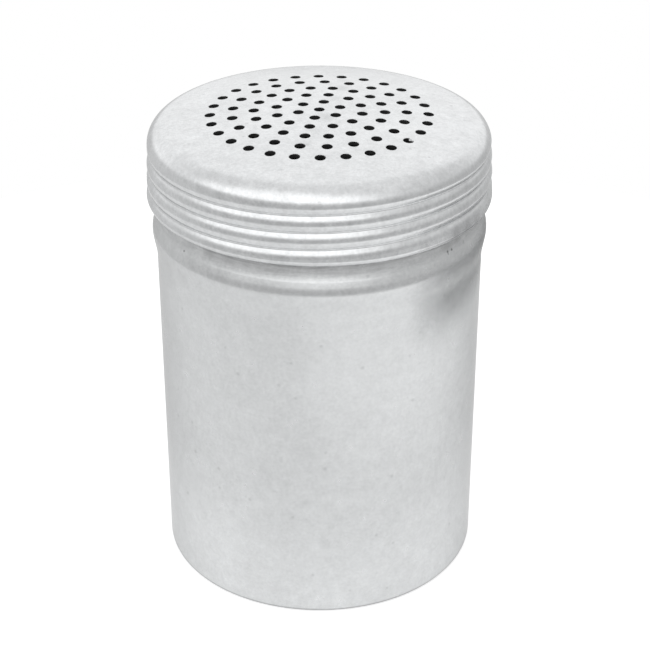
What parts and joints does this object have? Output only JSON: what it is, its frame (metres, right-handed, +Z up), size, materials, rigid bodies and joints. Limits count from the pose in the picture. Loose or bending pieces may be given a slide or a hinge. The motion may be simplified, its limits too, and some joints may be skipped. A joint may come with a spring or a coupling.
{
  "type": "spice shaker",
  "caption": "Aluminium shaker can for salt or spice, with a rolled screw neck and a screw lid whose domed top is perforated.",
  "frame": {"origin": "centre of the can's flat base, where it stands", "axes": "+Z up along the can's axis to the middle hole of the lid; +X and +Y square to it, with the lid's thread starting at 225 degrees clockwise from +X"},
  "size_m": [0.0692, 0.0692, 0.0978],
  "materials": {
    "can_aluminium": "satin",
    "lid_aluminium": "satin"
  },
  "bodies": {
    "can": {"can": "can_aluminium"},
    "rim": {"lid_rim": "lid_aluminium"},
    "lid": {"lid": "lid_aluminium"}
  },
  "joints": [
    {"name": "lid_lift", "type": "slide", "parent": "can", "child": "rim", "axis": [0, 0, 1], "range_m": [0, 0.01686]},
    {"name": "lid_turn", "type": "hinge", "parent": "rim", "child": "lid", "pos_m": [0, 0, 0.0805], "axis": [0, 0, 1], "range_deg": [0, 1800]}
  ],
  "couplings": [
    {"joint": "lid_lift", "follows": "lid_turn", "m_per_rad": 0.00053635}
  ]
}
